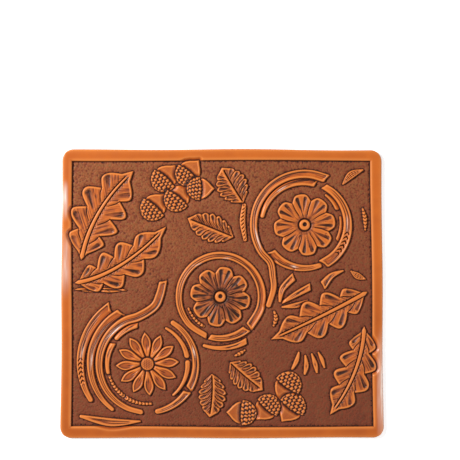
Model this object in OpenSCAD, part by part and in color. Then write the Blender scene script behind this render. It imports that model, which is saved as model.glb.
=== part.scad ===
// Tooled leather wallet back panel, lying flat with the carved side up.
// X runs across the panel, Y up the panel, Z out of the flesh face. Millimetres.
// One hide: two field slabs and six border bars carry the raised motifs.

/* [Hide] */
// Half of the width along the bottom edge
half_w = 99.2; // [90:0.1:110]
// Half of the width along the top edge
half_w_top = 97.6; // [90:0.1:110]
// Half of the height
half_h = 88.5; // [80:0.1:100]
// Corner radius
corner_r = 7; // [3:0.5:15]
// Full leather thickness
thick = 2.6; // [2:0.1:4]
// Thickness left under the matted background
ground_t = 1.5; // [1:0.1:2]
// Clear gap at the fold line
fold_gap = 0.3; // [0.1:0.1:1]

/* [Field] */
// Half of the carved field's width
field_w = 92; // [80:0.5:95]
// Half of the carved field's height
field_h = 81.2; // [70:0.2:84]

/* [Motifs] */
// Steps per span on the stems
stem_steps = 4; // [3:1:8]
// Steps per span on the leaf and petal outlines
ring_steps = 3; // [2:1:8]

/* [Hidden] */
relief = thick - ground_t;

// Stems: x, y and width at each station

// Leaf outlines: x and y, with a third value at a sharp corner

// Petal outlines of the two broad flowers, in the same form

// Acorns: x, y where nut meets cup, direction of the nut in degrees, size
acorn_1 = [-35,70.6,50,1.2];
acorn_2 = [-20.4,73.8,50,1.16];
acorn_3 = [-13.6,64.2,0,1.06];
acorn_4 = [-27.2,58.4,52,1.18];
acorn_5 = [-41.6,53,50,1.2];
acorn_6 = [40,-56.4,-125,1.24];
acorn_7 = [27.6,-69.6,-132,1.16];
acorn_8 = [42.6,-69.6,-125,1.24];
acorn_9 = [12.6,-72.8,178,1.16];

daisy_at = [-45.5,-43];
daisy_hub = 3.8;
// Daisy petals: direction and length
daisy_rays = [for (i = [0:11]) [30*i+4, 19.4]];
centre_at = [-1,-2];
corner_at = [50.5,42];
boss_r = 3.4;

// Smooth curve through a list of stations, any number of columns
function mid(a, b, c, d, t) = 0.5 * (2*b + (c - a)*t + (2*a - 5*b + 4*c - d)*t*t + (3*b - a - 3*c + d)*t*t*t);
function at(P, u) = let(n = len(P) - 1, i = min(floor(u*n), n - 1), t = u*n - i)
    mid(P[max(i-1,0)], P[i], P[i+1], P[min(i+2,n)], t);
function ang(P, u) = let(e = 0.004, p = at(P, max(u-e,0)), q = at(P, min(u+e,1))) atan2(q[1]-p[1], q[0]-p[0]);
function polar(p, r, a) = [p[0] + r*cos(a), p[1] + r*sin(a)];
function arc(c, r, a0, a1, n) = [for (i = [0:n]) polar(c, r, a0 + (a1 - a0)*i/n)];

// Stem outline: both sides of the curve and a round end at each end
function stem_pts(P) = let(n = (len(P) - 1)*stem_steps) concat(
    [for (i = [0:n]) let(u = i/n) polar(at(P,u), at(P,u)[2]/2, ang(P,u) + 90)],
    [for (k = [1:3]) polar(at(P,1), at(P,1)[2]/2, ang(P,1) + 90 - k*45)],
    [for (i = [n:-1:0]) let(u = i/n) polar(at(P,u), at(P,u)[2]/2, ang(P,u) - 90)],
    [for (k = [1:3]) polar(at(P,0), at(P,0)[2]/2, ang(P,0) - 90 - k*45)]);

// Closed outline: a smooth curve through the points, broken at the sharp corners
function xy(p) = [p[0], p[1]];
function ring_pts(R) = let(n = len(R)) [for (i = [0:n-1]) let(b = R[i], c = R[(i+1)%n],
    a = len(b) > 2 ? b : R[(i+n-1)%n], d = len(c) > 2 ? c : R[(i+2)%n])
    for (k = [0:ring_steps-1]) mid(xy(a), xy(b), xy(c), xy(d), k/ring_steps)];

// Tapered arc: centre, radius, start and end angle, start and end width
function arc_of(c, r, a0, a1, w0, w1) = [for (i = [0:10]) let(t = i/10, a = a0 + (a1-a0)*t) [c[0]+r*cos(a), c[1]+r*sin(a), w0+(w1-w0)*t]];
// Point on the bent midline of a leaf, and across it
function mid_of(b, m, e, t) = (1-t)*(1-t)*b + 2*t*(1-t)*m + t*t*e;
function dir_of(b, m, e, t) = let(d = (1-t)*(m-b) + t*(e-m)) d/norm(d);
function off_of(b, m, e, t, w) = let(p = mid_of(b,m,e,t), d = dir_of(b,m,e,t)) [p[0]-d[1]*w, p[1]+d[0]*w];
function sharp(p) = [p[0], p[1], 1];
function lobe_w(t, w) = w*pow(sin(180*min(t, 0.985)), 0.7);
// Leaf with n even lobes a side: base, bend, tip, half width, lobes, how deep the notches leave it
function side_of(b, m, e, w, n, deep, k) = [for (i = [0:n-1]) let(t = 0.07+0.84*i/n, s = 0.84/n)
    each [sharp(off_of(b,m,e,t,k*deep*lobe_w(t,w))), off_of(b,m,e,t+0.34*s,k*0.96*lobe_w(t+0.34*s,w)), off_of(b,m,e,t+0.68*s,k*lobe_w(t+0.68*s,w))]];
function back(L) = [for (i = [len(L)-1:-1:0]) L[i]];
function leaf_of(b, m, e, w, n, deep) = concat([sharp(b)], side_of(b,m,e,w,n,deep,-1), [sharp(off_of(b,m,e,0.91,-deep*lobe_w(0.91,w))), sharp(e), sharp(off_of(b,m,e,0.91,deep*lobe_w(0.91,w)))], back(side_of(b,m,e,w,n,deep,1)));
// Rosette of n even petals
function rose_of(c, r, n, turn) = [for (i = [0:n-1]) each [for (j = [[0,0.80,1],[0.24,0.97,0],[0.5,1,0],[0.76,0.97,0]])
    let(a = turn + 360*(i+j[0])/n) (j[2] == 1 ? [c[0]+r*j[1]*cos(a), c[1]+r*j[1]*sin(a), 1] : [c[0]+r*j[1]*cos(a), c[1]+r*j[1]*sin(a)])]];
stem_a = arc_of(daisy_at, 41, 125, 212, 7, 3);
stem_b = arc_of(daisy_at, 35, 118, 232, 6, 2.4);
stem_d = arc_of(daisy_at, 24.6, 150, 192, 3.4, 2.2);
stem_e = arc_of(daisy_at, 24.6, 140, 105, 2.6, 3.6);
beads_a = arc_of(daisy_at, 24.4, 198, 232, 1.4, 2.4);
beads_b = arc_of(daisy_at, 24.4, 238, 275, 2.4, 1.4);
arch_a = arc_of(daisy_at, 29.6, 58, -30, 3, 4.6);
arch_b = arc_of(daisy_at, 24.6, 62, 12, 1.6, 3);
post_a = arc_of(daisy_at, 29.6, -36, -78, 4.6, 3);
post_b = arc_of(daisy_at, 24.6, 2, -50, 3, 1.4);
ring_a = arc_of(centre_at, 25.4, 250, -45, 3.4, 5.2);
ring_b = arc_of(centre_at, 25.4, -52, -104, 5, 3.4);
under = arc_of(centre_at, 31.4, 252, 300, 2, 3.6);
pod_a = arc_of(centre_at, 20.7, 200, 240, 1.2, 1.9);
coil_a = arc_of(corner_at, 26.4, 62, -62, 4, 6.4);
coil_b = arc_of(corner_at, 26.4, -70, -140, 3, 6);
coil_c = arc_of(corner_at, 26.4, 168, 76, 2.4, 5);
coil_d = arc_of(corner_at, 22.4, 54, 28, 1.4, 2.8);
coil_e = arc_of(corner_at, 22.4, 12, -22, 1.4, 3);
foot = [[-86, -75, 2], [-68, -78.6, 5], [-50, -78, 1]];
beads_c = [[8, -38, 1], [11, -36.6, 2.2], [14, -34.6, 1]];
rope = [[13.6, 54, 2.4], [12.6, 44, 3.4], [14.2, 33, 2.2]];
pod_b = [[74, 67, 1], [79, 72.6, 4.4], [86, 75.6, 1]];
pod_c = [[79, 13.6, 1], [83, 10.8, 4], [87.4, 9, 1]];
pod_d = [[86, 52, 1], [87.4, 46, 2.6], [87.6, 39, 1]];
spur = [[74, 14, 1], [67, 11, 3.4], [62, 5.4, 5]];
spray_a = [[35.4, -4.6, 1.6], [37, 3, 3.6], [43.6, 10, 4.4]];
spray_b = [[37, -5.4, 1.4], [45, -0.6, 3.4], [53.6, 4, 4.2]];
spray_c = [[37, -8.2, 1.2], [44, -7.4, 3], [52, -5.6, 3.6]];
spray_d = [[32, -11, 1.2], [33, -15, 2.6], [31.6, -19.6, 1.2]];
sprig_a = [[47, -36, 1.2], [45.6, -41, 2.6], [43, -46, 1.4]];
sprig_b = [[51, -38, 1.2], [51.6, -44, 2.8], [50.6, -49, 1.4]];
sprig_c = [[55, -37, 1.2], [57, -43, 2.8], [58, -48, 1.4]];
sprig_d = [[59, -36, 1], [61, -40, 2.4], [62.6, -45, 1.2]];
stem_c = concat([[-36, 7, 4.6], [-38, -1, 5], [-41.5, -8, 5.2]], arc_of(daisy_at, 29.6, 100, 262, 5.4, 3));
trunk = concat([[28.5, -7, 3], [31.5, 3, 3.4], [31, 11, 3.8]], arc_of(corner_at, 31.2, 228, 66, 4, 5.4));
oak_a = leaf_of([-86, 20.6], [-80, 52], [-54, 75], 15.5, 4, 0.52);
oak_b = leaf_of([-90, 6.4], [-62, 11], [-34, 41], 12, 4, 0.52);
oak_c = leaf_of([-90, 2.4], [-75, 4.2], [-58, 2], 2.6, 2, 0.7);
oak_d = leaf_of([89, 1.2], [64, -13], [30, -28], 12, 4, 0.52);
oak_e = leaf_of([87, -20], [86, -48], [66, -74], 11.5, 4, 0.52);
frill_a = leaf_of([13, 55.6], [6, 66], [0, 77], 9.6, 6, 0.84);
frill_b = leaf_of([7, 34.6], [-6, 40], [-21, 46], 8.6, 6, 0.84);
frill_c = leaf_of([-6, -49], [-5, -62], [-7.6, -75.6], 8.4, 6, 0.84);
frill_d = leaf_of([5, -42], [13, -50], [25, -59], 8.4, 6, 0.84);
petals_c = rose_of(centre_at, 18.4, 8, 12);
petals_k = rose_of(corner_at, 18.8, 8, 30);

module stem_2d(P) { polygon(stem_pts(P)); }
module ring_2d(R) { polygon(ring_pts(R)); }

// Acorn nut: straight rim side, ogive to a point
module nut_2d(A) {
    translate([A[0],A[1]]) rotate(A[2]) polygon([for (p = [[0.2,-5.7],[1.8,-5.8],[3.6,-5],[5.4,-3.5],[6.9,-1.7],[8.6,0],
        [6.9,1.7],[5.4,3.5],[3.6,5],[1.8,5.8],[0.2,5.7]]) p*A[3]]);
}
// Acorn cup: half an oval behind the rim
module cup_2d(A) {
    translate([A[0],A[1]]) rotate(A[2]) polygon([for (i = [0:14]) let(a = 90 + 180*i/14)
        [7.4*cos(a), 6.7*sin(a)]*A[3]]);
}
// Daisy petal ring: lance shapes from the hub outwards
module daisy_2d() {
    for (k = daisy_rays) let(z = k[1]/20.5) translate(daisy_at) rotate(k[0])
        polygon([[daisy_hub+0.15,-0.7],[8*z,-1.7],[12.5*z,-2.7],[16*z,-2.5],[18.6*z,-1.3],[k[1],0],
            [18.6*z,1.3],[16*z,2.5],[12.5*z,2.7],[8*z,1.7],[daisy_hub+0.15,0.7]]);
}
// Hide outline with rounded corners, a little wider at the bottom
module hide_2d() {
    polygon(concat(
        arc([half_w-corner_r, corner_r-half_h], corner_r, -90, 0, 8),
        arc([half_w_top-corner_r, half_h-corner_r], corner_r, 0, 90, 8),
        arc([corner_r-half_w_top, half_h-corner_r], corner_r, 90, 180, 8),
        arc([corner_r-half_w, corner_r-half_h], corner_r, 180, 270, 8)));
}
module box_2d(x0, y0, x1, y1) { translate([x0,y0]) square([x1-x0, y1-y0]); }
module bar(x0, y0, x1, y1) { linear_extrude(thick) intersection() { hide_2d(); box_2d(x0, y0, x1, y1); } }
// Keeps a motif inside the field and on one side of the fold
module lower_2d() { intersection() { children(); box_2d(-field_w, -field_h, field_w, -fold_gap/2); } }
module upper_2d() { intersection() { children(); box_2d(-field_w, fold_gap/2, field_w, field_h); } }
module raised() { translate([0,0,ground_t]) linear_extrude(relief) children(); }

module hub_2d() { translate(daisy_at) circle(r = daisy_hub); }
module cups_upper_2d() { cup_2d(acorn_1); cup_2d(acorn_2); cup_2d(acorn_3); cup_2d(acorn_4); cup_2d(acorn_5); }
module cups_lower_2d() { cup_2d(acorn_6); cup_2d(acorn_7); cup_2d(acorn_8); cup_2d(acorn_9); }
module frills_lower_2d() { ring_2d(frill_c); ring_2d(frill_d); }
module strands_2d() { stem_2d(stem_a); stem_2d(stem_b); stem_2d(stem_c); stem_2d(stem_d); stem_2d(stem_e); stem_2d(beads_a); }
module frills_upper_2d() { ring_2d(frill_a); ring_2d(frill_b); }

/* colours */
ground_c = [0.45,0.24,0.16];
tan_c = [0.82,0.45,0.18];
deep_c = [0.70,0.36,0.15];

module field_lower() { color(ground_c) linear_extrude(ground_t) box_2d(-field_w, -field_h, field_w, -fold_gap/2); }
module field_upper() { color(ground_c) linear_extrude(ground_t) box_2d(-field_w, fold_gap/2, field_w, field_h); }
module rim_bottom() { color(tan_c) bar(-100, -90, 100, -field_h); }
module rim_top() { color(tan_c) bar(-100, field_h, 100, 90); }
module rim_left_lower() { color(tan_c) bar(-100, -field_h, -field_w, -fold_gap/2); }
module rim_left_upper() { color(tan_c) bar(-100, fold_gap/2, -field_w, field_h); }
module rim_right_lower() { color(tan_c) bar(field_w, -field_h, 100, -fold_gap/2); }
module rim_right_upper() { color(tan_c) bar(field_w, fold_gap/2, 100, field_h); }

module daisy_petals() { color(tan_c) raised() daisy_2d(); }
module daisy_hub_disc() { color(deep_c) raised() hub_2d(); }
module daisy_arch() { color(tan_c) raised() difference() { union() { stem_2d(arch_a); stem_2d(arch_b); } stem_2d(stem_c); stem_2d(ring_b); } }
module daisy_post() { color(tan_c) raised() difference() { union() { stem_2d(post_a); stem_2d(post_b); } strands_2d();
    stem_2d(ring_a); stem_2d(ring_b); stem_2d(arch_a); ring_2d(frill_c); daisy_2d(); stem_2d(stem_c); } }
module daisy_foot() { color(tan_c) raised() difference() { union() { stem_2d(foot); stem_2d(beads_b); } strands_2d(); } }
module centre_petals_lower() { color(tan_c) raised() difference() { lower_2d() ring_2d(petals_c); stem_2d(pod_a); translate(centre_at) circle(r = boss_r); } }
module centre_petals_upper() { color(tan_c) raised() difference() { upper_2d() ring_2d(petals_c); translate(centre_at) circle(r = boss_r); } }
module centre_boss_lower() { color(deep_c) raised() lower_2d() translate(centre_at) circle(r = boss_r); }
module centre_boss_upper() { color(deep_c) raised() upper_2d() translate(centre_at) circle(r = boss_r); }
module centre_ring_lower() { color(tan_c) raised() difference() { lower_2d() { stem_2d(ring_a); stem_2d(ring_b); stem_2d(under); } stem_2d(pod_a); } }
module centre_ring_upper() { color(tan_c) raised() upper_2d() { stem_2d(ring_a); stem_2d(ring_b); } }
module centre_pod() { color(deep_c) raised() { stem_2d(pod_a); difference() { stem_2d(beads_c); stem_2d(under); ring_2d(frill_c); } } }
module corner_petals() { color(tan_c) raised() difference() { ring_2d(petals_k); translate(corner_at) circle(r = boss_r); } }
module corner_boss() { color(deep_c) raised() translate(corner_at) circle(r = boss_r); }
module corner_trunk_lower() { color(tan_c) raised() difference() { lower_2d() stem_2d(trunk); stem_2d(ring_a); } }
module corner_trunk_upper() { color(tan_c) raised() difference() { upper_2d() stem_2d(trunk); stem_2d(ring_a); } }
module corner_coil() { color(tan_c) raised() difference() { upper_2d() stem_2d(coil_a); stem_2d(trunk); } }
module corner_inner_coil() { color(tan_c) raised() difference() { upper_2d() { stem_2d(coil_b); stem_2d(coil_c); stem_2d(coil_d); stem_2d(coil_e); } stem_2d(spray_a); stem_2d(spray_b);
    stem_2d(coil_a); stem_2d(trunk); ring_2d(petals_k); } }
module corner_pods() { color(deep_c) raised() difference() { upper_2d() { stem_2d(pod_b); stem_2d(pod_c); stem_2d(pod_d); stem_2d(spur); }
    stem_2d(coil_a); stem_2d(coil_b); stem_2d(trunk); ring_2d(petals_k); } }
module stems_lower() { color(tan_c) raised() difference() { lower_2d() { stem_2d(stem_a); stem_2d(stem_b); stem_2d(stem_c); stem_2d(stem_d); stem_2d(stem_e); stem_2d(beads_a); }
    daisy_2d(); ring_2d(frill_c); } }
module stem_head_upper() { color(tan_c) raised() upper_2d() stem_2d(stem_c); }
module sprays_lower() { color(tan_c) raised() difference() { lower_2d() { stem_2d(spray_a); stem_2d(spray_b); stem_2d(spray_c); stem_2d(spray_d); }
    stem_2d(trunk); stem_2d(ring_a); ring_2d(oak_d); } }
module sprays_upper() { color(tan_c) raised() difference() { upper_2d() { stem_2d(spray_a); stem_2d(spray_b); } stem_2d(trunk); } }
module sprigs() { color(tan_c) raised() difference() { union() { stem_2d(sprig_a); stem_2d(sprig_b); stem_2d(sprig_c); stem_2d(sprig_d); }
    ring_2d(oak_d); ring_2d(oak_e); cups_lower_2d(); } }
module rope_stem() { color(deep_c) raised() difference() { stem_2d(rope); stem_2d(trunk); stem_2d(ring_a); frills_upper_2d(); } }

module oak_top_left() { color(tan_c) raised() difference() { upper_2d() ring_2d(oak_a); ring_2d(oak_b); cups_upper_2d(); } }
module oak_left() { color(tan_c) raised() difference() { upper_2d() ring_2d(oak_b); cups_upper_2d(); stem_2d(ring_a); } }
module oak_small() { color(tan_c) raised() difference() { upper_2d() ring_2d(oak_c); ring_2d(oak_b); } }
module oak_right_lower() { color(tan_c) raised() lower_2d() ring_2d(oak_d); }
module oak_right_upper() { color(tan_c) raised() upper_2d() ring_2d(oak_d); }
module oak_bottom_right() { color(tan_c) raised() difference() { lower_2d() ring_2d(oak_e); ring_2d(oak_d); } }

module frill_top() { color(tan_c) raised() upper_2d() ring_2d(frill_a); }
module frill_mid() { color(tan_c) raised() difference() { upper_2d() ring_2d(frill_b); ring_2d(frill_a); stem_2d(ring_a); } }
module frill_bottom_left() { color(tan_c) raised() lower_2d() ring_2d(frill_c); }
module frill_bottom() { color(tan_c) raised() difference() { lower_2d() ring_2d(frill_d); ring_2d(frill_c); } }

module acorn_nuts_upper() { color(tan_c) raised() difference() { upper_2d() { nut_2d(acorn_1); nut_2d(acorn_2); nut_2d(acorn_3); nut_2d(acorn_4); nut_2d(acorn_5); }
    cups_upper_2d(); ring_2d(oak_a); ring_2d(oak_b); frills_upper_2d(); } }
module acorn_cups_upper() { color(deep_c) raised() upper_2d() cups_upper_2d(); }
module acorn_nuts_lower() { color(tan_c) raised() difference() { lower_2d() { nut_2d(acorn_6); nut_2d(acorn_7); nut_2d(acorn_8); nut_2d(acorn_9); }
    cups_lower_2d(); frills_lower_2d(); } }
module acorn_cups_lower() { color(deep_c) raised() difference() { lower_2d() cups_lower_2d(); frills_lower_2d(); } }

field_lower();
field_upper();
rim_bottom();
rim_top();
rim_left_lower();
rim_left_upper();
rim_right_lower();
rim_right_upper();
daisy_petals();
daisy_hub_disc();  // daisy_hub
daisy_arch();
daisy_post();
daisy_foot();
centre_petals_lower();
centre_petals_upper();
centre_boss_lower();
centre_boss_upper();
centre_ring_lower();
centre_ring_upper();
centre_pod();
corner_petals();
corner_boss();
corner_trunk_lower();
corner_trunk_upper();
corner_coil();
corner_inner_coil();
corner_pods();
stems_lower();
stem_head_upper();
sprays_lower();
sprays_upper();
sprigs();
rope_stem();
oak_top_left();
oak_left();
oak_small();
oak_right_lower();
oak_right_upper();
oak_bottom_right();
frill_top();
frill_mid();
frill_bottom_left();
frill_bottom();
acorn_nuts_upper();
acorn_cups_upper();
acorn_nuts_lower();
acorn_cups_lower();
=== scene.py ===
import bpy, math
import numpy as np
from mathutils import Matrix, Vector


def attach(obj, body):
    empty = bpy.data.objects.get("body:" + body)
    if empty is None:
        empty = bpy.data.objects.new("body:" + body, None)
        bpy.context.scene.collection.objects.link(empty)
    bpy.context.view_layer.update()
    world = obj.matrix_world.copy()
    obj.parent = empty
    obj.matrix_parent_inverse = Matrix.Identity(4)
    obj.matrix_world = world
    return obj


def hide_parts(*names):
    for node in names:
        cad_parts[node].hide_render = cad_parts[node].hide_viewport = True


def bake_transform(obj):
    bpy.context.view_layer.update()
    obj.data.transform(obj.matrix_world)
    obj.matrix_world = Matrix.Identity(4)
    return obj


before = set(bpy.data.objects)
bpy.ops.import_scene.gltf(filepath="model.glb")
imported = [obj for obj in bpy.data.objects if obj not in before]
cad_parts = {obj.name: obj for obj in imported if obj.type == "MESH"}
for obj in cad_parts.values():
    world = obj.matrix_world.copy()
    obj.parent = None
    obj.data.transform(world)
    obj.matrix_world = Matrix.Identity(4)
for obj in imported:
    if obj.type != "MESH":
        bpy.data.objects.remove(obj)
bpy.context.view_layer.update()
scene = bpy.context.scene

# ------------------------------------------------------------------ sizes, mm
HALF_W, HALF_W_TOP, HALF_H, CORNER = 99.2, 97.6, 88.5, 7.0
NX, NY = 900, 804          # grid cells; NY is a multiple of 12, so y=0 falls on a row
TOP, GROUND, DEEP, CORE = 2.52, 1.42, 1.02, 0.85
F32 = np.float32

# ------------------------------------------------------------------ helpers


def smooth(t):
    t = np.clip(t, 0, 1)
    return t * t * (3 - 2 * t)


def bump(t):
    """1 at 0, falling smoothly to 0 at |t| = 1"""
    return smooth(1 - np.abs(t))


def vnoise(x, y, size, seed):
    """smooth value noise from -1 to 1, with cells of that size in mm"""
    r = np.random.RandomState(seed)
    n = 512
    lat = r.uniform(-1, 1, (n, n)).astype(F32)
    u, v = x / size + 137.0, y / size + 211.0
    i, j = np.floor(u).astype(int), np.floor(v).astype(int)
    fu, fv = smooth(u - i), smooth(v - j)
    i, j = i % n, j % n
    i1, j1 = (i + 1) % n, (j + 1) % n
    a = lat[j, i] * (1 - fu) + lat[j, i1] * fu
    b = lat[j1, i] * (1 - fu) + lat[j1, i1] * fu
    return a * (1 - fv) + b * fv


def spline(P, m=8):
    """Catmull-Rom through every column of P"""
    P = np.array(P, float)
    n = len(P) - 1
    out = []
    for i in range(n):
        a, b, c, d = P[max(i - 1, 0)], P[i], P[i + 1], P[min(i + 2, n)]
        t = (np.arange(m) / m)[:, None]
        out.append(0.5 * (2 * b + (c - a) * t + (2 * a - 5 * b + 4 * c - d) * t * t + (3 * b - a - 3 * c + d) * t ** 3))
    out.append(P[-1:])
    return np.vstack(out)


def along(S, x, y):
    """for points x, y: distance to the polyline S, arc length there, side (+1 left), index with fraction"""
    best = np.full(x.shape, 1e9, F32)
    arc = np.zeros(x.shape, F32)
    side = np.ones(x.shape, F32)
    idx = np.zeros(x.shape, F32)
    total = 0.0
    for k in range(len(S) - 1):
        ax, ay = S[k][:2]
        ux, uy = S[k + 1][0] - ax, S[k + 1][1] - ay
        L = math.hypot(ux, uy)
        if L < 1e-6:
            continue
        px, py = x - ax, y - ay
        t = np.clip((px * ux + py * uy) / (L * L), 0, 1)
        qx, qy = px - t * ux, py - t * uy
        d = qx * qx + qy * qy
        m = d < best
        best[m] = d[m]
        arc[m] = total + t[m] * L
        idx[m] = k + t[m]
        side[m] = np.where(ux * py[m] - uy * px[m] >= 0, 1, -1)
        total += L
    return np.sqrt(best), arc, side, idx, total


def sdf(poly, x, y):
    """signed distance to a closed outline, positive inside"""
    best = np.full(x.shape, 1e9, F32)
    inside = np.zeros(x.shape, bool)
    n = len(poly)
    for k in range(n):
        ax, ay = poly[k]
        bx, by = poly[(k + 1) % n]
        ux, uy = bx - ax, by - ay
        l2 = ux * ux + uy * uy
        if l2 < 1e-12:
            continue
        px, py = x - ax, y - ay
        t = np.clip((px * ux + py * uy) / l2, 0, 1)
        qx, qy = px - t * ux, py - t * uy
        np.minimum(best, qx * qx + qy * qy, out=best)
        if ay != by:
            inside ^= ((ay > y) != (by > y)) & (x < ux * (y - ay) / (by - ay) + ax)
    d = np.sqrt(best)
    return np.where(inside, d, -d)


# ------------------------------------------------------------------ the sheet
gx, gy = np.linspace(-HALF_W, HALF_W, NX + 1), np.linspace(-HALF_H, HALF_H, NY + 1)
X, Y = np.meshgrid(gx, gy)
EDGE = np.minimum(HALF_W - np.abs(X), HALF_H - np.abs(Y))          # distance in from the cut edge
ax_, ay_ = HALF_W - CORNER, HALF_H - CORNER
p_, q_ = np.clip((np.abs(X) - ax_) / CORNER, 0, 1), np.clip((np.abs(Y) - ay_) / CORNER, 0, 1)
cx_, cy_ = p_ * np.sqrt(1 - q_ * q_ / 2), q_ * np.sqrt(1 - p_ * p_ / 2)
X = np.where(p_ > 0, np.sign(X) * (ax_ + cx_ * CORNER), X)
Y = np.where(q_ > 0, np.sign(Y) * (ay_ + cy_ * CORNER), Y)
rise = (Y + HALF_H) / (2 * HALF_H)
near_edge = smooth((12 - EDGE) / 12)
X = X * (1 + near_edge * (HALF_W_TOP / HALF_W - 1) * rise)
# hand-cut edges wander a little
wy = 0.30 * np.sin(X / 17.0 + 0.6) + 0.22 * np.sin(X / 41.0 + 2.0) - 0.45
wx = 0.18 * np.sin(Y / 15.0 + 1.1) + 0.15 * np.sin(Y / 37.0) - 0.25
Y = Y + near_edge * np.where(Y > 0, wy, -0.6 * wy) * smooth((np.abs(Y) - 60) / 25)
X = X + near_edge * np.where(X > 0, wx, -wx) * smooth((np.abs(X) - 70) / 25)
X, Y = X.astype(F32), Y.astype(F32)

H = np.full(X.shape, GROUND, F32)          # top surface height
TONE = np.zeros(X.shape, F32)              # 0 stained ground, 1 bare tan
DARK = np.zeros(X.shape, F32)              # antique caught in cuts
GRAIN = np.ones(X.shape, F32)              # how much leather grain shows
LABEL = np.zeros((NY, NX), np.int16)       # which piece each cell belongs to
NAMES = ["field", "rim"]
FX, FY = 92.0, 81.2

# matted ground: fine stamped texture
mat_tex = 0.60 * vnoise(X, Y, 0.95, 3) + 0.55 * vnoise(X + 0.3 * Y, Y, 0.60, 5)
cloud = vnoise(X, Y, 9, 11) * 0.6 + vnoise(X, Y, 3.5, 12) * 0.4
H += 0.17 * mat_tex + 0.05 * cloud
DARK += -0.04 - 0.14 * cloud + 0.56 * smooth(0.42 - 1.15 * mat_tex)

# smooth border round the field
fx_l = FX - 0.4 * rise + 0.25 * np.sin(Y / 23.0)
fx_r = FX + 0.6 - 2.0 * rise + 0.25 * np.sin(Y / 19.0 + 1)
field_d = np.minimum(np.minimum(np.where(X < 0, fx_l, fx_r) - np.abs(X), FY + 0.35 * np.sin(X / 31.0 + 0.8) - np.abs(Y)), 30.0)
rim_h = TOP + 0.03 * vnoise(X, Y, 14, 21) + 0.012 * vnoise(X, Y, 4, 22)
r_edge = 1.15
rim_h = rim_h - (r_edge - np.sqrt(np.clip(r_edge ** 2 - np.clip(r_edge - EDGE, 0, r_edge) ** 2, 0, None)))
rim_h = rim_h - 0.10 * smooth(1 - EDGE / 3.0)
rim_h = rim_h - 0.30 * smooth((field_d + 0.9) / 0.9)                # inner lip rounds over
rim_h = rim_h + 0.04 * bump((field_d + 1.5) / 0.7)
g_h = H - (GROUND - DEEP) * smooth(1 - field_d / 2.2)
k = smooth((field_d + 0.22) / 0.44)
H = (rim_h * (1 - k) + g_h * k).astype(F32)
TONE = (1 - k).astype(F32)
DARK = (DARK * k + 0.60 * bump((field_d - 0.22) / 0.62)).astype(F32)
GRAIN = np.where(k > 0.5, 1.0, 0.5).astype(F32)
cell = lambda a: 0.25 * (a[:-1, :-1] + a[1:, :-1] + a[:-1, 1:] + a[1:, 1:])
LABEL[cell(field_d) < 0] = 1


def window(x0, y0, x1, y1, pad=4.5):
    """index slices of the grid that cover a box with room for its bevel"""
    i0 = max(int((y0 - pad + HALF_H) / (2 * HALF_H) * NY), 0)
    i1 = min(int((y1 + pad + HALF_H) / (2 * HALF_H) * NY) + 2, NY + 1)
    j0 = max(int((x0 - pad + HALF_W) / (2 * HALF_W) * NX), 0)
    j1 = min(int((x1 + pad + HALF_W) / (2 * HALF_W) * NX) + 2, NX + 1)
    return slice(i0, i1), slice(j0, j1)


def paint(win, d, h, name, tone, dark, grain=0.6, bevel=2.6, low=DEEP, line=0.80):
    """lays a raised motif over what is there: beats its surroundings down, then puts its own surface in"""
    Hs, Ts, Ds, Gs = H[win], TONE[win], DARK[win], GRAIN[win]
    s = smooth(-d / bevel)
    pushed = np.where(Hs > low, low + (Hs - low) * s, Hs)
    k = smooth((d + 0.20) / 0.40)
    H[win] = pushed * (1 - k) + h * k
    fade = smooth((1.3 + d) / 1.3)                      # the bevel carries stain onto lower motifs
    TONE[win] = (Ts * (1 - 0.55 * fade)) * (1 - k) + tone * k
    uneven = 0.86 + 0.30 * vnoise(X[win], Y[win], 3.2, 401)
    DARK[win] = (Ds + line * uneven * bump((d + 0.28) / 0.50)) * (1 - k) + dark * k
    GRAIN[win] = Gs * (1 - k) + grain * k
    if name not in NAMES:
        NAMES.append(name)
    L = LABEL[win[0].start:win[0].stop - 1, win[1].start:win[1].stop - 1]
    L[cell(d) > 0] = NAMES.index(name)


def rounded(d, r=0.8, fall=0.42):
    """height under TOP of an edge that rolls over within r of the outline"""
    t = np.clip(1 - d / r, 0, 1)
    return fall * (1 - np.sqrt(np.clip(1 - t * t, 0, 1)))


def groove(t, half, depth):
    """a cut of that half-width and depth where t is the distance to its line"""
    b = bump(t / half)
    return depth * b, b


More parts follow.
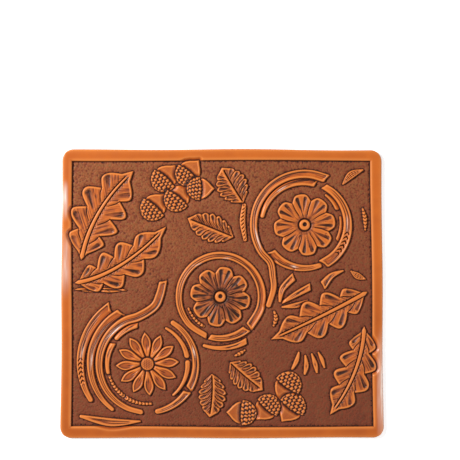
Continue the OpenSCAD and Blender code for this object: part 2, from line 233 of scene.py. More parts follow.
# ------------------------------------------------------------------ motifs
def stem(name, P, kind="plain", flow=1, slant=1.0):
    S = spline(P, 8)
    w = float(S[:, 2].max()) / 2
    win = window(S[:, 0].min() - w, S[:, 1].min() - w, S[:, 0].max() + w, S[:, 1].max() + w)
    x, y = X[win], Y[win]
    dist, s, side, idx, L = along(S, x, y)
    half = np.interp(idx, np.arange(len(S)), S[:, 2]).astype(F32) / 2
    d = half - dist
    v = dist * side
    # wide ends are cut on a slant with one corner drawn out
    for end in (0, 1):
        e0, e1 = (S[0], S[2]) if end == 0 else (S[-1], S[-3])
        he = e0[2] / 2
        if he < 1.65 or kind not in ("plain", "tick", "turn"):
            continue
        ux, uy = e1[0] - e0[0], e1[1] - e0[1]
        n_ = math.hypot(ux, uy)
        ux, uy = ux / n_, uy / n_
        f = (x - e0[0]) * ux + (y - e0[1]) * uy
        c = ux * (y - e0[1]) - uy * (x - e0[0])
        near = (s < he * 2.2) if end == 0 else (s > L - he * 2.2)
        q = np.clip(c / he, -1.3, 1.3) * slant * (1 if end == 0 else -1)
        cut = f + he * (0.22 + 0.42 * q + 0.20 * q * q)
        body = np.where(f < 0, he - np.abs(c), d)
        u_ = np.clip(0.5 + (cut - body) / 2.2, 0, 1)
        d = np.where(near, cut + (body - cut) * u_ - 1.1 * u_ * (1 - u_), d)
        v = np.where(near & (f < 0), c * (1 if end == 0 else -1), v)
    h = TOP - rounded(d, 0.9, 0.5) + 0.03 * vnoise(x, y, 5, 31)
    tone, dark = np.ones_like(h), np.zeros_like(h)
    if kind in ("plain", "tick"):
        # pear-shaded trough at the head, running out into flowing cut lines
        big = int(S[0, 2] < S[-1, 2])
        sh = (L - s) if big else s
        wide = smooth((half - 1.6) / 0.8)
        head = 0.16 + 0.84 * smooth(1 - (sh - 0.12 * L) / (0.30 * L + 4))
        tr = smooth((d - 0.95) / 0.9) * wide
        h -= 0.66 * tr * head
        # painted shade: the trough darkens toward one wall
        shade_side = smooth((v * flow / np.maximum(half, 0.5) + 0.75) / 1.3)
        tone -= (0.08 + 0.22 * shade_side) * tr * head
        dark += (0.24 * shade_side + 0.36 * vnoise(s * 0.30, v * 2.2, 0.8, 37)) * tr * head
        # the dark line under the lip is stain in the cut, made stronger on one side as painted shadow
        lip = bump((d - 1.15) / 0.55) * wide * (0.30 + 0.70 * smooth((v * flow + 0.4) / 1.2)) * (0.35 + 0.65 * head)
        h -= 0.30 * lip
        dark += 1.15 * lip
        for frac, a0, a1, seed in ((0.34, 0.06, 0.97, 1), (-0.22, 0.30, 0.95, 2), (0.02, 0.12, 0.55, 3)):
            lane = np.abs(v - flow * frac * half - 0.10 * vnoise(s, s * 0, 6, 40 + seed))
            run = smooth((sh / L - a0) / 0.12) * smooth((a1 - sh / L) / 0.12) * smooth((half - 1.15) / 0.4)
            g, b = groove(lane, 0.36, 0.34)
            h -= g * run
            dark += 1.0 * b * run
            tone -= 0.30 * smooth((1.0 - lane) / 1.0) * run * (v * flow < frac * half)
            h -= 0.10 * smooth((1.0 - lane) / 1.0) * run * (v * flow < frac * half)
    if kind in ("plain", "tick", "turn"):
        st = vnoise(v * 2.6, s * 0.14, 1.0, 33) * 0.6 + vnoise(v * 5, s * 0.3, 1.0, 34) * 0.4
        inn = smooth((d - 0.6) / 0.6)
        h += 0.10 * st * inn
        tone -= 0.08 * inn
        dark += 0.36 * np.clip(-st, 0, 1) * inn
    if kind == "turn":
        t = s / L
        tr = smooth((d - 0.60) / 0.5) * smooth((t - 0.20) / 0.3) * smooth((half - 0.9) / 0.5)
        h -= 0.50 * tr
        tone -= 0.55 * tr
        dark += 0.30 * tr * smooth((t - 0.70) / 0.25) + 0.55 * bump((d - 0.85) / 0.45) * (v > 0) * smooth((t - 0.3) / 0.2)
    if kind == "tick":
        band = smooth((s / L - 0.55) / 0.06) * smooth((0.86 - s / L) / 0.06) * smooth((1.6 - np.abs(v)) / 0.4)
        ph = (s - 0.9 * np.abs(v - 0.2) ** 1.3) / 2.75
        g, b = groove((ph - np.round(ph)) * 2.75, 0.85, 0.95)
        h -= g * band
        dark = dark * (1 - 0.7 * band) + 1.2 * b * band
        tone += (1 - tone) * 0.7 * band * (1 - b)
    if kind == "bead":
        ph = (s + 0.7 * np.abs(v)) / 2.1
        g, b = groove((ph - np.round(ph)) * 2.1, 0.72, 0.8)
        h -= g
        dark += 1.15 * b
        h -= 0.2 * smooth(1 - d / 0.9)
    if kind == "rope":
        ph = (s + 0.8 * v) / 2.3
        core = smooth((half * 0.66 - np.abs(v)) / 0.3)
        g, b = groove((ph - np.round(ph)) * 2.3, 0.72, 0.75)
        h -= g * core
        dark += 1.1 * b * core
        g, b = groove(np.abs(v) - half * 0.72, 0.3, 0.3)
        h -= g
        dark += 0.6 * b
    if kind == "pod":
        t = s / L
        for lane in (-0.50, 0.0, 0.50):
            g, b = groove(v - lane * half, 0.34, 0.5)
            m = smooth(t / 0.1) * smooth((0.93 - t) / 0.1)
            h -= g * m
            dark += 1.0 * b * m
        ph = s / 1.7
        g, b = groove((ph - np.round(ph)) * 1.7, 0.42, 0.3)
        m = smooth((half - np.abs(v) - 0.7) / 0.3)
        h -= g * m
        dark += 0.6 * b * m
        tone -= 0.15
    paint(win, d, h, name, np.clip(tone, 0.05, 1), np.clip(dark, 0, 1.2))


def ring_pts(R, m=7):
    """closed Catmull-Rom outline; a point with a third value is a sharp corner"""
    n, out = len(R), []
    for i in range(n):
        b, c = R[i], R[(i + 1) % n]
        a = b if len(b) > 2 else R[i - 1]
        d = c if len(c) > 2 else R[(i + 2) % n]
        a, b, c, d = (np.array(p[:2], float) for p in (a, b, c, d))
        for k in range(m):
            t = k / m
            out.append(0.5 * (2 * b + (c - a) * t + (2 * a - 5 * b + 4 * c - d) * t * t + (3 * b - a - 3 * c + d) * t ** 3))
    return np.array(out)


def scoop(x, y, h, tone, dark, x0, y0, x1, y1, w, deep=0.62):
    """a tapering hollow, deepest and darkest at its first end"""
    r0 = w / 2
    m = (x > min(x0, x1) - r0 - 1) & (x < max(x0, x1) + r0 + 1) & (y > min(y0, y1) - r0 - 1) & (y < max(y0, y1) + r0 + 1)
    px, py = x[m] - x0, y[m] - y0
    ux, uy = x1 - x0, y1 - y0
    t = np.clip((px * ux + py * uy) / (ux * ux + uy * uy), 0, 1)
    q = np.hypot(px - t * ux, py - t * uy)
    r = r0 * (1 - 0.55 * t)
    prof = smooth((r - q) / (0.65 * r + 0.15)) * (1 - 0.80 * t ** 1.5)
    h[m] -= deep * prof
    tone[m] -= 0.62 * prof
    dark[m] += 0.85 * bump((q - r + 0.25) / 0.50) * (1 - t) ** 1.2 + 0.22 * prof * (1 + 0.7 * vnoise(x[m], y[m], 0.8, 91))


def slash(x, y, h, tone, dark, P, w=0.5, deep=0.6):
    """a tapering knife stroke through the points P"""
    S = spline([(*p, 0) for p in P], 5)
    m = (x > S[:, 0].min() - 2) & (x < S[:, 0].max() + 2) & (y > S[:, 1].min() - 2) & (y < S[:, 1].max() + 2)
    dist, s, side, idx, L = along(S, x[m], y[m])
    t = s / L
    ww = w * (0.45 + 0.55 * np.sqrt(np.clip(1 - t, 0, 1)))
    g, b = groove(dist, ww, deep)
    h[m] -= g
    dark[m] += 1.0 * b
    # one side of the stroke is bevelled away
    sh = smooth(1 - dist / 1.7) * (side < 0)
    h[m] -= 0.22 * sh
    tone[m] -= 0.28 * sh


def shape(name, R, scoops=(), cuts=(), rib=None, kind="oak", seed=1, streak=None, rib_w=1.0, wash=1.0):
    """a leaf or flower with that outline, its hollows, its knife strokes and its midrib"""
    O = ring_pts(R)
    win = window(O[:, 0].min(), O[:, 1].min(), O[:, 0].max(), O[:, 1].max())
    x, y = X[win], Y[win]
    d = sdf(O, x, y)
    inn = smooth((d - 0.75) / 0.7)
    h = TOP - rounded(d, 0.8, 0.45) - 0.10 * inn + 0.05 * vnoise(x, y, 4.5, seed)
    tone = 1 - 0.24 * inn
    dark = 0.27 * wash * inn * (1 + vnoise(x, y, 2.2, seed + 7))
    if rib:
        S = spline([(*p, 0) for p in rib], 8)
        dist, s, side, idx, L = along(S, x, y)
        u = s / L
        ends = smooth(u / 0.03) * smooth((1 - u) / 0.06)
        flow = s - 0.95 * dist
        st = vnoise(flow * 1.15, dist * 0.16 + 20 * (side > 0), 1.0, seed + 3) * 0.65 + vnoise(flow * 2.4, dist * 0.3, 1.0, seed + 4) * 0.35
    else:
        cx, cy = streak
        th, rr = np.arctan2(y - cy, x - cx), np.hypot(x - cx, y - cy)
        st = vnoise(th * 13, rr * 0.16, 1.0, seed + 3) * 0.65 + vnoise(th * 26, rr * 0.25, 1.0, seed + 4) * 0.35
        ray = np.abs(vnoise(th * 9.5, rr * 0.10, 1.0, seed + 5))
        ray = bump(ray / 0.16) * smooth((rr - 4.5) / 2) * smooth((17.5 - rr) / 6)
        h -= 0.16 * ray
        dark += 0.62 * ray
        heart = smooth((15.5 - rr) / 9)
        tone -= 0.30 * wash * heart
        dark += 0.18 * wash * heart
        h -= 0.12 * heart
    h += 0.16 * st * inn
    dark += 0.52 * np.clip(-st, 0, 1) * inn
    tone -= 0.22 * np.clip(-st, 0, 1) * inn
    for c in scoops:
        scoop(x, y, h, tone, dark, *c)
    for c in cuts:
        slash(x, y, h, tone, dark, c)
    if rib and kind == "oak":
        half = rib_w * (1.25 - 0.65 * u)
        # stained and bevelled beside the midrib, with rows of short strokes
        sh = smooth((3.6 - dist) / 3.2) * ends
        h -= 0.30 * sh
        tone -= 0.25 * sh
        dark += 0.16 * sh + (0.26 + 0.34 * vnoise(s, dist, 0.62, seed + 9)) * smooth((2.6 + 0.8 * vnoise(s, side, 4.0, seed + 12) - dist) / 1.6) * ends
        for pitch, out, ph in ((1.15, 1.0, 0.0), (2.3, 2.0, 0.4)):
            k = (s + 1.3 * dist + 0.25 * vnoise(s, side, 2.1, seed + 13)) / pitch + ph
            g, b = groove((k - np.round(k)) * pitch, 0.32, 0.30)
            m = smooth((dist - half - 0.3) / 0.3) * smooth((half + out - dist + 0.5 * vnoise(s, side, 1.3, seed)) / 0.9) * ends * inn
            h -= g * m
            dark += 0.40 * b * m
        k = smooth((half - dist) / 0.25) * ends
        h += (TOP + 0.02 - 0.28 * (dist / half) ** 2 - h) * k
        tone += (0.98 - tone) * k
        dark *= 1 - k
        g, b = groove(dist - half - 0.28, 0.46, 0.75)
        h -= g * ends
        dark += 1.0 * b * ends
    if rib and kind == "frill":
        v = dist * side
        # the half on the right of the midrib is tucked under the other
        tuck = smooth(1 - dist / 4.5) * (v < 0) * ends
        h -= 0.60 * tuck
        tone -= 0.40 * tuck
        lip = bump((v - 0.9) / 1.1) * ends
        h += 0.16 * lip
        tone += 0.25 * lip
        for off, side_m in ((0.0, v < 0), (0.5, v > 1.9)):
            k = (s - 1.5 * dist + off) / 1.75
            g, b = groove((k - np.round(k)) * 1.75, 0.40, 0.42)
            m = smooth((dist - 0.5) / 0.4) * smooth((4.6 - dist + 1.2 * vnoise(s, side, 1.6, seed)) / 1.6) * side_m * ends * inn
            h -= g * m
            dark += 0.85 * b * m
        g, b = groove(v + 0.15, 0.62, 0.95)
        h -= g * ends
        dark += 1.2 * b * ends
    paint(win, d, h, name, np.clip(tone, 0.05, 1), np.clip(dark, 0, 1.2))


def local(c, turn, x, y):
    a = math.radians(turn)
    px, py = x - c[0], y - c[1]
    return px * math.cos(a) + py * math.sin(a), -px * math.sin(a) + py * math.cos(a)


def acorn(part, A, seed):
    cx, cy, turn, z = A
    win = window(cx - 11, cy - 11, cx + 11, cy + 11)
    x, y = X[win], Y[win]
    p, q = local((cx, cy), turn, x, y)
    p, q = p / z, q / z
    if part[0] == "nut":
        O = [(0.2, -5.7), (1.8, -5.8), (3.6, -5), (5.4, -3.5), (6.9, -1.7), (8.6, 0), (6.9, 1.7), (5.4, 3.5), (3.6, 5), (1.8, 5.8), (0.2, 5.7), (-1.5, 0)]
        d = sdf(O, p, q) * z
        h = TOP - 0.08 - rounded(d, 1.0, 0.55)
        tr = smooth((d - 0.8) / 0.6)
        h -= 0.22 * tr * smooth((p - 0.2) / 1.5)
        fan = np.arctan2(q, 11.5 - p) * 26
        st = vnoise(fan, p * 0.22, 0.8, 50 + seed)
        h += 0.05 * st * tr
        tone = 1 - 0.42 * tr
        dark = 0.26 * tr * st + 0.24 * tr + 0.45 * bump((p - 0.9) / 1.3) * tr
        paint(win, d, h, part[1], tone, dark, line=0.9)
    else:
        t = [math.radians(90 + 180 * i / 24) for i in range(25)]
        O = [(7.4 * math.cos(a), 6.7 * math.sin(a)) for a in t] + [(0.7, -4), (1.1, 0), (0.7, 4)]
        d = sdf(O, p, q) * z
        dome = 0.20 * smooth(1 - np.hypot(p + 3, q) / 7)
        p, q = p + 0.42 * vnoise(p, q, 2.6, 61 + seed), q + 0.42 * vnoise(p, q, 2.6, 71 + seed)
        a, b = (p + 0.45 * q) / 2.05, (q - 0.25 * p) / 2.05
        odd = np.round(b) % 2 * 0.5
        u, v = (a + odd) - np.round(a + odd), b - np.round(b)
        knob = smooth((0.60 - np.abs(u) * 1.0 - np.abs(v) * 1.05) * 3.4)
        h = TOP - 0.36 + dome + 0.50 * (knob - 0.5) - rounded(d, 1.3, 0.5)
        dark = 1.10 * (1 - knob) ** 1.3 - 0.10
        tone = 1.0 + 0 * h
        paint(win, d, h, part[1], tone, dark, grain=0.3)


def daisy(c, rays, hub):
    win = window(c[0] - 22, c[1] - 22, c[0] + 22, c[1] + 22)
    x, y = X[win], Y[win]
    for k, (turn, Rk) in enumerate(rays):
        p, q = local(c, turn, x, y)
        z = Rk / 20.5
        q = q + 0.5 * math.sin(7 * k) * (p / Rk) ** 2 * np.sin(p / 5)
        O = [(hub - 0.4, -0.9), (8, -1.8), (12.5, -2.8), (16, -2.6), (18.6, -1.4), (20.5, 0), (18.6, 1.4), (16, 2.6), (12.5, 2.8), (8, 1.8), (hub - 0.4, 0.9)]
        O = ring_pts([(a * z, b, 1) if i in (0, 5, 10) else (a * z, b) for i, (a, b) in enumerate(O)], 3)
        sub = (np.abs(q) < 6) & (p > 0) & (p < Rk + 5)
        d = np.full(x.shape, -9.0, F32)
        d[sub] = sdf(O, p[sub], q[sub])
        h = TOP - 0.05 - rounded(d, 0.8, 0.45)
        tr = smooth((d - 0.75) / 0.55) * smooth((p - 7.5) / 4.0)
        h -= 0.62 * tr
        h -= 0.30 * smooth((8.5 - p) / 4.0)
        crease = bump(q / 0.36) * smooth((13.5 - p) / 3) * smooth((p - 5.0) / 1.5)
        h -= 0.24 * crease
        tone = 1 - 0.35 * tr - 0.3 * smooth((7 - p) / 3)
        # painted shade: each petal's trough, and the dark stain line at its rim, are darker on one side
        rim_d = bump((d - 0.95) / 0.45) * smooth((p - 9) / 4) * smooth((1.2 + q * math.sin(k + 1)) / 1.6)
        shade_side = smooth((q * math.sin(k + 1) + 1.0) / 2.2)
        dark = (0.12 + 0.30 * shade_side) * tr + 0.85 * rim_d + 0.60 * crease + 0.45 * smooth((7 - p) / 2.5)
        paint(win, d, h, "daisy_petals", tone, dark, bevel=1.8)
    r = np.hypot(x - c[0], y - c[1])
    d = hub - r
    a, b = (x - c[0]) / 1.05, (y - c[1] + 0.58 * (x - c[0])) / 1.15
    u, v = a - np.round(a), b - np.round(b)
    seed = smooth(1.2 - 2.2 * np.hypot(u, v))
    h = TOP - 0.05 - rounded(d, 1.2, 0.5) - 0.28 * (1 - seed) * smooth(d / 0.8)
    paint(win, d, h, "daisy_hub", 0.72 + 0 * h, 0.55 * (1 - seed) * smooth(d / 0.6), bevel=1.6, grain=0.3)


def boss(name, c, rb=3.3):
    win = window(c[0] - rb, c[1] - rb, c[0] + rb, c[1] + rb)
    x, y = X[win], Y[win]
    # the petals sink and darken round the boss
    r = np.hypot(x - c[0], y - c[1])
    near = smooth((7.0 - r) / 3.2)
    H[win] -= 0.35 * near
    DARK[win] += 0.55 * near
    TONE[win] *= 1 - 0.35 * near
    d = rb - r
    ox, oy = x - c[0] - 0.1, y - c[1] - 0.35
    pit = smooth((1.5 - np.hypot(ox, oy)) / 0.45)
    h = TOP + 0.04 - rounded(d, 1.3, 0.65) - 1.0 * pit
    paint(win, d, h, name, 1 - 0.75 * pit, 0.95 * pit, bevel=1.5, grain=0.3)


# stations: x, y, width
# daisy petals: direction and length
# outlines: x, y, and a third value at a sharp corner
# hollows: x, y of the deep end, x, y of the shallow end, width
# knife strokes
acorns_up = [[-35,70.6,50,1.2],[-20.4,73.8,50,1.16],[-13.6,64.2,0,1.06],[-27.2,58.4,52,1.18],[-41.6,53,50,1.2]]
acorns_low = [[12.6,-72.8,178,1.16],[27.6,-69.6,-132,1.16],[42.6,-69.6,-125,1.24],[40,-56.4,-125,1.24]]

# ------------------------------------------------------------------ motifs made by formula


def arc_of(c, r, a0, a1, w0, w1):
    return [[c[0] + r * math.cos(math.radians(a0 + (a1 - a0) * i / 10)), c[1] + r * math.sin(math.radians(a0 + (a1 - a0) * i / 10)), w0 + (w1 - w0) * i / 10] for i in range(11)]


def mid_of(b, m, e, t):
    return [(1 - t) ** 2 * b[k] + 2 * t * (1 - t) * m[k] + t * t * e[k] for k in (0, 1)]


def off_of(b, m, e, t, w):
    p = mid_of(b, m, e, t)
    dx, dy = [(1 - t) * (m[k] - b[k]) + t * (e[k] - m[k]) for k in (0, 1)]
    q = math.hypot(dx, dy)
    return [p[0] - dy / q * w, p[1] + dx / q * w]


def lobe_w(t, w):
    return w * math.sin(math.pi * min(t, 0.985)) ** 0.7


def leaf_of(b, m, e, w, n, deep):
    """outline, midrib, hollows and cuts of a leaf with n even lobes a side"""
    sides, sc, ct = [], [], []
    for k in (-1, 1):
        L = []
        for i in range(n):
            t, s_ = 0.07 + 0.84 * i / n, 0.84 / n
            L += [off_of(b, m, e, t, k * deep * lobe_w(t, w)) + [1], off_of(b, m, e, t + 0.34 * s_, k * 0.96 * lobe_w(t + 0.34 * s_, w)), off_of(b, m, e, t + 0.68 * s_, k * lobe_w(t + 0.68 * s_, w))]
            u = t + 0.5 * s_
            sc.append(off_of(b, m, e, u, k * 0.80 * lobe_w(u, w)) + off_of(b, m, e, max(u - 0.09, 0.02), k * 0.28 * lobe_w(u, w)) + [min(0.26 * w, 9.0 * w / 12 * s_ * 4)])
            if i:
                ct.append([off_of(b, m, e, t, k * deep * lobe_w(t, w)), off_of(b, m, e, t - 0.05, k * 0.42 * lobe_w(t, w)), off_of(b, m, e, t - 0.11, k * 0.20 * lobe_w(t, w))])
        sides.append(L)
    ends = [off_of(b, m, e, 0.91, -deep * lobe_w(0.91, w)) + [1], [*e, 1], off_of(b, m, e, 0.91, deep * lobe_w(0.91, w)) + [1]]
    return [[*b, 1]] + sides[0] + ends + sides[1][::-1], [mid_of(b, m, e, 0.02 + 0.92 * i / 6) for i in range(7)], sc, ct


def rose_of(c, r, n, turn):
    """outline, hollows and cuts of a rosette of n even petals"""
    at = lambda f, q: [c[0] + r * f * math.cos(math.radians(turn + 360 * q / n)), c[1] + r * f * math.sin(math.radians(turn + 360 * q / n))]
    R, sc, ct = [], [], []
    for i in range(n):
        R += [at(0.80, i) + [1], at(0.97, i + 0.24), at(1.0, i + 0.5), at(0.97, i + 0.76)]
        sc += [at(0.86, i + 0.30) + at(0.42, i + 0.42) + [2.6], at(0.86, i + 0.70) + at(0.42, i + 0.58) + [2.6]]
        ct.append([at(0.79, i), at(0.55, i + 0.04), at(0.34, i)])
    return R, sc, ct


daisy_at, centre_at, corner_at = (-45.5, -43), (-1, -1.9), (50.5, 42)
daisy_rays = [[30 * i + 4, 19.4] for i in range(12)]
stem_a = arc_of(daisy_at, 41, 125, 212, 7, 3)
stem_b = arc_of(daisy_at, 35, 118, 232, 6, 2.4)
stem_d = arc_of(daisy_at, 24.6, 150, 192, 3.4, 2.2)
stem_e = arc_of(daisy_at, 24.6, 140, 105, 2.6, 3.6)
beads_a = arc_of(daisy_at, 24.4, 198, 232, 1.4, 2.4)
beads_b = arc_of(daisy_at, 24.4, 238, 275, 2.4, 1.4)
arch_a = arc_of(daisy_at, 29.6, 58, -30, 3, 4.6)
arch_b = arc_of(daisy_at, 24.6, 62, 12, 1.6, 3)
post_a = arc_of(daisy_at, 29.6, -36, -78, 4.6, 3)
post_b = arc_of(daisy_at, 24.6, 2, -50, 3, 1.4)
ring_a = arc_of(centre_at, 25.4, 250, -45, 3.4, 5.2)
ring_b = arc_of(centre_at, 25.4, -52, -104, 5, 3.4)
under = arc_of(centre_at, 31.4, 252, 300, 2, 3.6)
pod_a = arc_of(centre_at, 20.7, 200, 240, 1.2, 1.9)
coil_a = arc_of(corner_at, 26.4, 62, -62, 4, 6.4)
coil_b = arc_of(corner_at, 26.4, -70, -140, 3, 6)
coil_c = arc_of(corner_at, 26.4, 168, 76, 2.4, 5)
coil_d = arc_of(corner_at, 22.4, 54, 28, 1.4, 2.8)
coil_e = arc_of(corner_at, 22.4, 12, -22, 1.4, 3)
foot = [[-86, -75, 2], [-68, -78.6, 5], [-50, -78, 1]]
beads_c = [[8, -38, 1], [11, -36.6, 2.2], [14, -34.6, 1]]
rope = [[13.6, 54, 2.4], [12.6, 44, 3.4], [14.2, 33, 2.2]]
pod_b = [[74, 67, 1], [79, 72.6, 4.4], [86, 75.6, 1]]
pod_c = [[79, 13.6, 1], [83, 10.8, 4], [87.4, 9, 1]]
pod_d = [[86, 52, 1], [87.4, 46, 2.6], [87.6, 39, 1]]
spur = [[74, 14, 1], [67, 11, 3.4], [62, 5.4, 5]]
spray_a = [[35.4, -4.6, 1.6], [37, 3, 3.6], [43.6, 10, 4.4]]
spray_b = [[37, -5.4, 1.4], [45, -0.6, 3.4], [53.6, 4, 4.2]]
spray_c = [[37, -8.2, 1.2], [44, -7.4, 3], [52, -5.6, 3.6]]
spray_d = [[32, -11, 1.2], [33, -15, 2.6], [31.6, -19.6, 1.2]]
sprig_a = [[47, -36, 1.2], [45.6, -41, 2.6], [43, -46, 1.4]]
sprig_b = [[51, -38, 1.2], [51.6, -44, 2.8], [50.6, -49, 1.4]]
sprig_c = [[55, -37, 1.2], [57, -43, 2.8], [58, -48, 1.4]]
sprig_d = [[59, -36, 1], [61, -40, 2.4], [62.6, -45, 1.2]]
stem_c = [[-36, 7, 4.6], [-38, -1, 5], [-41.5, -8, 5.2]] + arc_of(daisy_at, 29.6, 100, 262, 5.4, 3)
trunk = [[28.5, -7, 3], [31.5, 3, 3.4], [31, 11, 3.8]] + arc_of(corner_at, 31.2, 228, 66, 4, 5.4)
oak_a, rib_a, sc_a, ct_a = leaf_of([-86, 20.6], [-80, 52], [-54, 75], 15.5, 4, 0.52)
oak_b, rib_b, sc_b, ct_b = leaf_of([-90, 6.4], [-62, 11], [-34, 41], 12, 4, 0.52)
oak_c, rib_c, sc_c, ct_c = leaf_of([-90, 2.4], [-75, 4.2], [-58, 2], 2.6, 2, 0.7)
oak_d, rib_d, sc_d, ct_d = leaf_of([89, 1.2], [64, -13], [30, -28], 12, 4, 0.52)
oak_e, rib_e, sc_e, ct_e = leaf_of([87, -20], [86, -48], [66, -74], 11.5, 4, 0.52)
frill_a, rib_fa, sc_fa, ct_fa = leaf_of([13, 55.6], [6, 66], [0, 77], 9.6, 6, 0.84)
frill_b, rib_fb, sc_fb, ct_fb = leaf_of([7, 34.6], [-6, 40], [-21, 46], 8.6, 6, 0.84)
frill_c, rib_fc, sc_fc, ct_fc = leaf_of([-6, -49], [-5, -62], [-7.6, -75.6], 8.4, 6, 0.84)
frill_d, rib_fd, sc_fd, ct_fd = leaf_of([5, -42], [13, -50], [25, -59], 8.4, 6, 0.84)
petals_c, sc_pc, ct_pc = rose_of(centre_at, 18.4, 8, 12)
petals_k, sc_pk, ct_pk = rose_of(corner_at, 18.8, 8, 30)
oak_turns = {"a": [], "b": [], "d": [], "e": []}
# painted glints: a pale streak along each main stem stands in for a reflected highlight
PAINTED_GLINTS = [[*L[4][:2], *L[6][:2], 0.9, 0.8] for L in (stem_a, stem_b, stem_c, arch_a, ring_a, trunk, coil_a, coil_b, coil_c)]
# lowest motifs first; each one beats down what lies under its outline
stem("daisy_foot", foot)
stem("daisy_foot", beads_b, "bead")
stem("stems", beads_a, "bead")
stem("stems", stem_a, "tick", -1, -1)
stem("stems", stem_b)
stem("stems", stem_e)
stem("stems", stem_d)
stem("daisy_post", post_b)
stem("daisy_arch", arch_b)
stem("daisy_arch", arch_a)
stem("stems", stem_c)
stem("daisy_post", post_a)
stem("centre_pod", beads_c, "bead")
stem("centre_ring", under)
stem("centre_ring", ring_a, flow=-1)
stem("centre_ring", ring_b)
stem("corner_inner_coil", coil_b)
stem("corner_inner_coil", coil_c)
stem("corner_inner_coil", coil_d)
stem("corner_inner_coil", coil_e)
stem("corner_pods", pod_d, "bead")
stem("corner_pods", pod_b, "pod")
stem("corner_pods", pod_c, "pod")
stem("corner_pods", spur)
stem("rope_stem", rope, "rope")
stem("corner_coil", coil_a, "tick", 1, -1)
stem("sprays", spray_d, "bead")
stem("sprays", spray_c)
stem("sprays", spray_b)
stem("sprays", spray_a)
stem("corner_trunk", trunk)
for P in (sprig_d, sprig_c, sprig_b, sprig_a):
    stem("sprigs", P)
daisy((-45.5, -43), daisy_rays, 3.8)
shape("centre_petals", petals_c, sc_pc, ct_pc, seed=1, streak=centre_at, wash=1.3)
boss("centre_boss", (-1, -1.9))
stem("centre_pod", pod_a, "bead")
shape("corner_petals", petals_k, sc_pk, ct_pk, seed=2, streak=corner_at, wash=0.25)
boss("corner_boss", (50.5, 42))


def oak(name, R, sc, ct, rib, turns, seed, rib_w=1.0):
    shape(name, R, sc, ct, rib, "oak", seed, rib_w=rib_w)
    for P in turns:
        stem(name, P, "turn")


oak("oak_small", oak_c, sc_c, ct_c, rib_c, [], 3, 0.5)
oak("oak_top_left", oak_a, sc_a, ct_a, rib_a, oak_turns["a"], 4)
oak("oak_left", oak_b, sc_b, ct_b, rib_b, oak_turns["b"], 5)
oak("oak_bottom_right", oak_e, sc_e, ct_e, rib_e, oak_turns["e"], 6)
oak("oak_right", oak_d, sc_d, ct_d, rib_d, oak_turns["d"], 7)
shape("frill_mid", frill_b, sc_fb, ct_fb, rib_fb, "frill", 8)
shape("frill_top", frill_a, sc_fa, ct_fa, rib_fa, "frill", 9)
shape("frill_bottom", frill_d, sc_fd, ct_fd, rib_fd, "frill", 10)
shape("frill_bottom_left", frill_c, sc_fc, ct_fc, rib_fc, "frill", 11)
for i, A in enumerate(acorns_up):
    acorn(("nut", "acorn_nuts_upper"), A, i)
for i, A in enumerate(acorns_up):
    acorn(("cup", "acorn_cups_upper"), A, i)
for i, A in enumerate(acorns_low):
    acorn(("nut", "acorn_nuts_lower"), A, 5 + i)
for i, A in enumerate(acorns_low):
    acorn(("cup", "acorn_cups_lower"), A, 5 + i)

# ------------------------------------------------------------------ stain settles in every recess


def blur(a, r):
    """three box blurs, r cells each way"""
    for _ in range(3):
        for axis in (0, 1):
            pad = [(0, 0), (0, 0)]
            pad[axis] = (r + 1, r)
            c = np.cumsum(np.pad(a, pad, mode="edge"), axis=axis, dtype=np.float64)
            n = a.shape[axis]
            hi = np.take(c, np.arange(2 * r + 1, 2 * r + 1 + n), axis=axis)
            lo = np.take(c, np.arange(0, n), axis=axis)
            a = ((hi - lo) / (2 * r + 1)).astype(F32)
    return a


soft = (H[1:-1, 1:-1] * 4 + H[:-2, 1:-1] + H[2:, 1:-1] + H[1:-1, :-2] + H[1:-1, 2:]) / 8
H[1:-1, 1:-1] = 0.5 * H[1:-1, 1:-1] + 0.5 * soft
cav = np.clip((blur(H, 2) - H) / 0.16, -1, 1) * 0.55 + np.clip((blur(H, 6) - H) / 0.45, -1, 1) * 0.45
DARK = np.clip(DARK + 0.55 * np.clip(cav, 0, 1) - 0.25 * np.clip(-cav, 0, 1), 0, 1)
# raised spots: partly real wear, partly a painted highlight on the ridges
WORN_AND_HIGHLIGHT = np.clip(-cav, 0, 1)
# the colour runs from paler at the upper left and right border to redder and darker at the lower right
COLOUR_DRIFT = 0.04 + 0.86 * smooth((0.4 * X - Y + 110) / 220)
COLOUR_DRIFT = COLOUR_DRIFT + (0.36 * smooth((70 - Y) / 150) + 0.12 * smooth((80 - X) / 160) - COLOUR_DRIFT) * smooth((TONE - 0.25) / 0.4)
COLOUR_DRIFT = np.clip(COLOUR_DRIFT + 0.10 * vnoise(X, Y, 16, 81) + 0.07 * vnoise(X, Y, 5, 82), 0, 1).astype(F32)
# painted highlight: pale sheen patches on the border and glints along the stems stand in for reflections of the lights
painted_highlight = bump((X + 96.2) / 3.0) * 1.15 * bump((Y - 57) / 14) + bump((X + 95.5) / 4.2) * 0.55 * bump((Y - 18) / 24)
painted_highlight = painted_highlight + 0.75 * bump((X - 97.2) / 3.4) * bump((Y + 57) / 40)
# painted glints along the raised stems
for gx0, gy0, gx1, gy1, gw, gs in PAINTED_GLINTS:
    ux, uy = gx1 - gx0, gy1 - gy0
    t = ((X - gx0) * ux + (Y - gy0) * uy) / (ux * ux + uy * uy)
    tt = np.clip(t, 0, 1)
    q = np.hypot(X - gx0 - tt * ux, Y - gy0 - tt * uy)
    painted_highlight = painted_highlight + 1.35 * gs * bump(q / gw) * bump((tt - 0.5) / 0.62) * smooth((H - 2.0) / 0.3)
painted_highlight = painted_highlight * (0.80 + 0.35 * vnoise(X * 1.6, Y * 0.22, 2.2, 71) + 0.30 * vnoise(X * 4.2, Y * 0.30, 1.8, 72)) * TONE
PAINTED_HIGHLIGHT = np.clip(painted_highlight, 0, 1).astype(F32)

